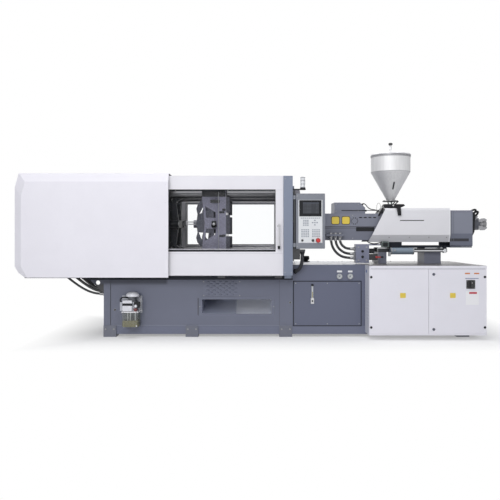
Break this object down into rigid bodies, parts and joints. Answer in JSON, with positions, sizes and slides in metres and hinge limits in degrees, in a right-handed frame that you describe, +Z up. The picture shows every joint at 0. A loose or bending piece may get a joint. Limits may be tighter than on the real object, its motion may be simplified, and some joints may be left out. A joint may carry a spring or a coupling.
{
  "type": "injection moulding machine",
  "caption": "Horizontal injection moulding machine: toggle clamp behind sliding gates, jointed control panel, injection unit with hopper, and cabinet.",
  "frame": {"origin": "on the floor under the middle of the machine's length and width", "axes": "+X from the clamp end to the motor end, -Y the operator's side, +Z up"},
  "size_m": [5.25, 1.342, 2.188],
  "materials": {
    "bed_paint": "satin enamel",
    "cover_paint": "powder coat",
    "pillar_paint": "powder coat",
    "guard_paint": "powder coat",
    "light_grey_paint": "powder coat",
    "black_paint": "satin",
    "cast_paint": "painted casting",
    "bare_steel": "machined",
    "hard_chrome": "ground and plated",
    "zinc_steel": "zinc plated",
    "clear_pane": "polycarbonate sheet",
    "reservoir_plastic": "clear plastic",
    "beacon_plastic": "clear stack",
    "panel_grey": "cast, painted",
    "key_field": "membrane",
    "stop_red": "moulded",
    "black_plastic": "moulded",
    "hose_rubber": "smooth",
    "valve_red": "dipped grip",
    "pump_grey": "moulded",
    "door_paint": "powder coat"
  },
  "bodies": {
    "base": {"bed_frame": "bed_paint", "levelling_feet": "bed_paint", "bed_panels": "bed_paint", "bed_gauges": "bare_steel", "cabinet_body": "door_paint", "fixed_platen": "cast_paint", "tie_bars": "hard_chrome", "guard_frame": "bed_paint", "front_clamp_cover": "cover_paint", "rear_clamp_cover": "cover_paint", "clamp_hood": "cover_paint", "guard_pillars": "pillar_paint", "signal_beacon": "beacon_plastic", "lube_pump": "pump_grey", "lube_reservoir": "reservoir_plastic", "injection_base": "guard_paint", "left_hose": "hose_rubber", "panel_conduit": "hose_rubber"},
    "left_gauge_needle": {"left_gauge_needle": "black_paint"},
    "right_gauge_needle": {"right_gauge_needle": "black_paint"},
    "front_gate": {"front_gate": "cover_paint", "front_gate_pane": "clear_pane"},
    "rear_gate": {"rear_gate": "cover_paint", "rear_gate_pane": "clear_pane"},
    "tail_platen": {"tail_platen": "cast_paint"},
    "moving_platen": {"moving_platen": "cast_paint"},
    "ejector": {"ejector": "bare_steel"},
    "crosshead": {"crosshead": "cast_paint"},
    "upper_rear_links": {"upper_rear_links": "bare_steel"},
    "lower_rear_links": {"lower_rear_links": "bare_steel"},
    "upper_front_links": {"upper_front_links": "bare_steel"},
    "lower_front_links": {"lower_front_links": "bare_steel"},
    "upper_crosshead_links": {"upper_crosshead_links": "bare_steel"},
    "lower_crosshead_links": {"lower_crosshead_links": "bare_steel"},
    "control_panel": {"control_panel": "panel_grey", "panel_face": "key_field"},
    "emergency_stop": {"emergency_stop": "stop_red"},
    "start_button": {"start_button": "black_plastic"},
    "panel_key_switch": {"panel_key_switch": "zinc_steel"},
    "left_cabinet_door": {"left_cabinet_door": "door_paint"},
    "right_cabinet_door": {"right_cabinet_door": "door_paint"},
    "upper_door_lock": {"upper_door_lock": "zinc_steel"},
    "lower_door_lock": {"lower_door_lock": "zinc_steel"},
    "main_switch_grip": {"main_switch_grip": "black_plastic"},
    "carriage": {"carriage": "guard_paint", "barrel": "bare_steel", "barrel_guard": "guard_paint", "injection_cover": "cover_paint", "hopper_base": "black_paint", "hopper": "light_grey_paint", "hose_manifold": "guard_paint", "outer_hose": "hose_rubber", "middle_hose": "hose_rubber", "inner_hose": "hose_rubber"},
    "thrust_housing": {"thrust_housing": "cast_paint", "screw_motor": "light_grey_paint"},
    "screw": {"screw": "hard_chrome"},
    "hopper_lid": {"hopper_lid": "light_grey_paint"},
    "hopper_slide": {"hopper_slide": "zinc_steel"},
    "valve_lever": {"valve_lever": "valve_red"}
  },
  "joints": [
    {"name": "left_gauge", "type": "hinge", "parent": "base", "child": "left_gauge_needle", "pos_m": [0.85, -0.455, 0.661], "axis": [0, 1, 0], "range_deg": [0, 270]},
    {"name": "right_gauge", "type": "hinge", "parent": "base", "child": "right_gauge_needle", "pos_m": [0.967, -0.455, 0.661], "axis": [0, 1, 0], "range_deg": [0, 270]},
    {"name": "front_gate_slide", "type": "slide", "parent": "base", "child": "front_gate", "axis": [-1, 0, 0], "range_m": [0, 0.72]},
    {"name": "rear_gate_slide", "type": "slide", "parent": "base", "child": "rear_gate", "axis": [-1, 0, 0], "range_m": [0, 0.72]},
    {"name": "mould_height", "type": "slide", "parent": "base", "child": "tail_platen", "axis": [1, 0, 0], "range_m": [0, 0.35]},
    {"name": "clamp", "type": "slide", "parent": "tail_platen", "child": "moving_platen", "axis": [-1, 0, 0], "range_m": [0, 0.42]},
    {"name": "crosshead_slide", "type": "slide", "parent": "tail_platen", "child": "crosshead", "axis": [-1, 0, 0], "range_m": [0, 0.4009]},
    {"name": "upper_rear_pivot", "type": "hinge", "parent": "tail_platen", "child": "upper_rear_links", "pos_m": [-1.199, 0, 1.57], "axis": [0, 1, 0], "range_deg": [0, 73.99]},
    {"name": "lower_rear_pivot", "type": "hinge", "parent": "tail_platen", "child": "lower_rear_links", "pos_m": [-1.199, 0, 0.91], "axis": [0, -1, 0], "range_deg": [0, 73.99]},
    {"name": "upper_knee", "type": "hinge", "parent": "upper_rear_links", "child": "upper_front_links", "pos_m": [-0.909, 0, 1.57], "axis": [0, -1, 0], "range_deg": [0, 147.98]},
    {"name": "lower_knee", "type": "hinge", "parent": "lower_rear_links", "child": "lower_front_links", "pos_m": [-0.909, 0, 0.91], "axis": [0, 1, 0], "range_deg": [0, 147.98]},
    {"name": "upper_crosshead_pivot", "type": "hinge", "parent": "crosshead", "child": "upper_crosshead_links", "pos_m": [-0.979, 0, 1.33], "axis": [0, 1, 0], "range_deg": [0, 86.42]},
    {"name": "lower_crosshead_pivot", "type": "hinge", "parent": "crosshead", "child": "lower_crosshead_links", "pos_m": [-0.979, 0, 1.15], "axis": [0, -1, 0], "range_deg": [0, 86.42]},
    {"name": "ejector_slide", "type": "slide", "parent": "moving_platen", "child": "ejector", "axis": [1, 0, 0], "range_m": [0, 0.08]},
    {"name": "panel_swivel", "type": "hinge", "parent": "base", "child": "control_panel", "pos_m": [0.346, -0.608, 1.26], "axis": [0, 0, -1], "range_deg": [0, 75]},
    {"name": "emergency_stop_press", "type": "slide", "parent": "control_panel", "child": "emergency_stop", "axis": [0, 1, 0], "range_m": [0, 0.004]},
    {"name": "start_press", "type": "slide", "parent": "control_panel", "child": "start_button", "axis": [0, 1, 0], "range_m": [0, 0.004], "stiffness_N_per_m": 500},
    {"name": "key_turn", "type": "hinge", "parent": "control_panel", "child": "panel_key_switch", "pos_m": [0.43, -0.62, 1.053], "axis": [0, 1, 0], "range_deg": [0, 90]},
    {"name": "left_door_hinge", "type": "hinge", "parent": "base", "child": "left_cabinet_door", "pos_m": [1.141, -0.641, 0.41], "axis": [0, 0, -1], "range_deg": [0, 110]},
    {"name": "right_door_hinge", "type": "hinge", "parent": "base", "child": "right_cabinet_door", "pos_m": [2.361, -0.641, 0.41], "axis": [0, 0, 1], "range_deg": [0, 110]},
    {"name": "upper_lock_turn", "type": "hinge", "parent": "right_cabinet_door", "child": "upper_door_lock", "pos_m": [1.811, -0.64, 0.696], "axis": [0, -1, 0], "range_deg": [0, 90]},
    {"name": "lower_lock_turn", "type": "hinge", "parent": "right_cabinet_door", "child": "lower_door_lock", "pos_m": [1.811, -0.64, 0.116], "axis": [0, 1, 0], "range_deg": [0, 90]},
    {"name": "main_switch_turn", "type": "hinge", "parent": "right_cabinet_door", "child": "main_switch_grip", "pos_m": [2.2, -0.66, 0.59], "axis": [0, 1, 0], "range_deg": [0, 90]},
    {"name": "carriage_slide", "type": "slide", "parent": "base", "child": "carriage", "axis": [1, 0, 0], "range_m": [0, 0.2]},
    {"name": "injection_stroke", "type": "slide", "parent": "carriage", "child": "thrust_housing", "axis": [1, 0, 0], "range_m": [0, 0.18]},
    {"name": "screw_turn", "type": "hinge", "parent": "thrust_housing", "child": "screw", "pos_m": [2.07, 0, 1.24], "axis": [1, 0, 0], "continuous": true},
    {"name": "lid_lift", "type": "slide", "parent": "carriage", "child": "hopper_lid", "axis": [0, 0, 1], "range_m": [0, 0.12]},
    {"name": "hopper_slide_pull", "type": "slide", "parent": "carriage", "child": "hopper_slide", "axis": [0, -1, 0], "range_m": [0, 0.09]},
    {"name": "valve_turn", "type": "hinge", "parent": "carriage", "child": "valve_lever", "pos_m": [1.285, -0.3, 0.865], "axis": [0, -1, 0], "range_deg": [0, 90]}
  ],
  "couplings": [
    {"joint": "crosshead_slide", "follows": "clamp", "ratio": 0.95452},
    {"joint": "upper_rear_pivot", "follows": "clamp", "rad_per_m": 3.0745},
    {"joint": "lower_rear_pivot", "follows": "clamp", "rad_per_m": 3.0745},
    {"joint": "upper_knee", "follows": "clamp", "rad_per_m": 6.1491},
    {"joint": "lower_knee", "follows": "clamp", "rad_per_m": 6.1491},
    {"joint": "upper_crosshead_pivot", "follows": "clamp", "rad_per_m": 3.5911},
    {"joint": "lower_crosshead_pivot", "follows": "clamp", "rad_per_m": 3.5911}
  ]
}
